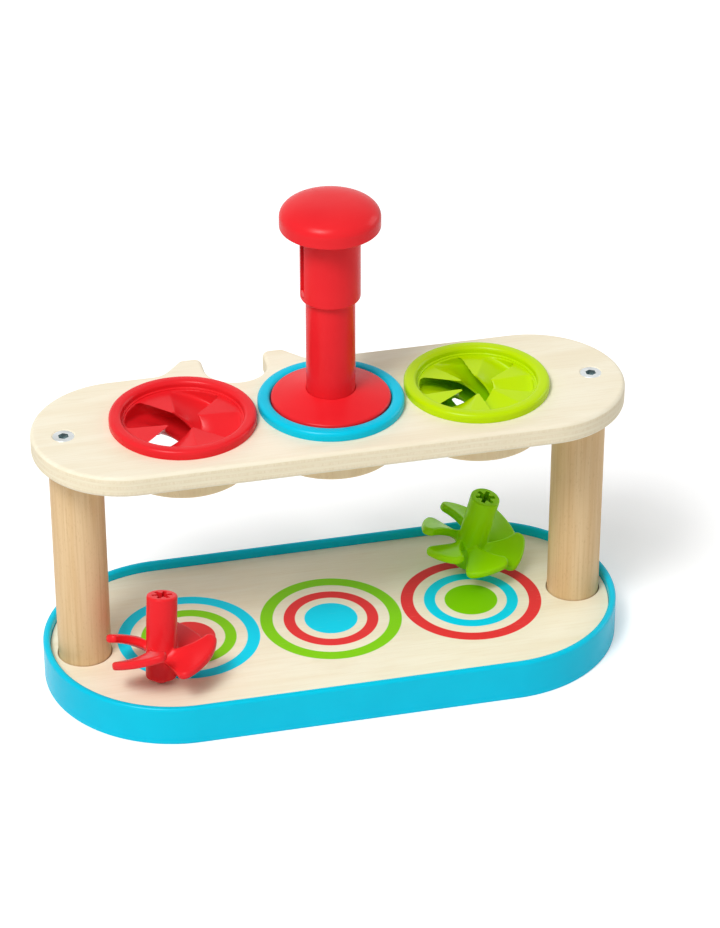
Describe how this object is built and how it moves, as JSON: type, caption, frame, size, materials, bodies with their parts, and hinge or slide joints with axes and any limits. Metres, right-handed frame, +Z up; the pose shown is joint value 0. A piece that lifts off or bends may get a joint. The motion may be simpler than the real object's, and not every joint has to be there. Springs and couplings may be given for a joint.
{
  "type": "push-down spinning top toy",
  "caption": "Wooden push-down spinning-top stand: slotted cups on a legged platform, a sprung push launcher with a star chuck, and finned tops over a target-printed base.",
  "frame": {"origin": "on the floor, under the middle of the base", "axes": "+X along the stand towards the green cup, +Y to the back where the fork is, +Z up"},
  "size_m": [0.3128, 0.1412, 0.271],
  "materials": {
    "blue_plastic": "moulded satin",
    "red_plastic": "moulded satin",
    "green_plastic": "moulded satin",
    "white_plastic": "moulded matt",
    "plywood": "sanded and clear lacquered",
    "printed_board": "printed and lacquered",
    "dowel": "turned and sanded",
    "steel": "zinc plated",
    "brass": "turned"
  },
  "bodies": {
    "stand": {"base_rim": "blue_plastic", "base_board": "plywood", "board_screws": "steel", "base_panel": "printed_board", "left_leg": "dowel", "right_leg": "dowel", "base_bolts": "steel", "platform_bolts": "steel", "leg_inserts": "brass", "platform": "plywood", "left_ring": "dowel", "middle_ring": "dowel", "right_ring": "dowel", "red_cup": "red_plastic", "blue_cup": "blue_plastic", "green_cup": "green_plastic"},
    "launcher": {"launcher_flange": "red_plastic", "launcher_tube": "red_plastic", "guide_pins": "red_plastic", "spring_seat": "steel", "return_spring": "steel"},
    "plunger": {"knob_cap": "red_plastic", "knob_sleeve": "red_plastic", "push_rod": "white_plastic"},
    "turner": {"thrust_washer": "steel"},
    "loaded_top": {"star_chuck": "white_plastic", "blue_top": "blue_plastic"},
    "red_top": {"red_top": "red_plastic"},
    "green_top": {"green_top": "green_plastic"}
  },
  "joints": [
    {"name": "launcher_lift", "type": "slide", "parent": "stand", "child": "launcher", "axis": [0, 0, 1], "range_m": [0, 0.06]},
    {"name": "knob_press", "type": "slide", "parent": "launcher", "child": "plunger", "axis": [0, 0, -1], "range_m": [0, 0.03], "stiffness_N_per_m": 150, "springref_m": -0.03, "deforming": ["return_spring"]},
    {"name": "washer_turn", "type": "hinge", "parent": "plunger", "child": "turner", "pos_m": [0, 0, 0.178], "axis": [0, 0, -1], "range_deg": [0, 180]},
    {"name": "top_turn", "type": "hinge", "parent": "turner", "child": "loaded_top", "pos_m": [0, 0, 0.17], "axis": [0, 0, 1], "range_deg": [0, 360]},
    {"name": "red_top_spin", "type": "hinge", "parent": "stand", "child": "red_top", "pos_m": [-0.0999, -0.0369, 0.0227], "axis": [0.0798, 0.2194, 0.9724], "continuous": true},
    {"name": "green_top_spin", "type": "hinge", "parent": "stand", "child": "green_top", "pos_m": [0.0827, 0.0313, 0.0227], "axis": [0.1889, -0.1372, 0.9724], "continuous": true}
  ],
  "couplings": [
    {"joint": "washer_turn", "follows": "knob_press", "rad_per_m": 104.72},
    {"joint": "top_turn", "follows": "launcher_lift", "rad_per_m": 104.72}
  ]
}
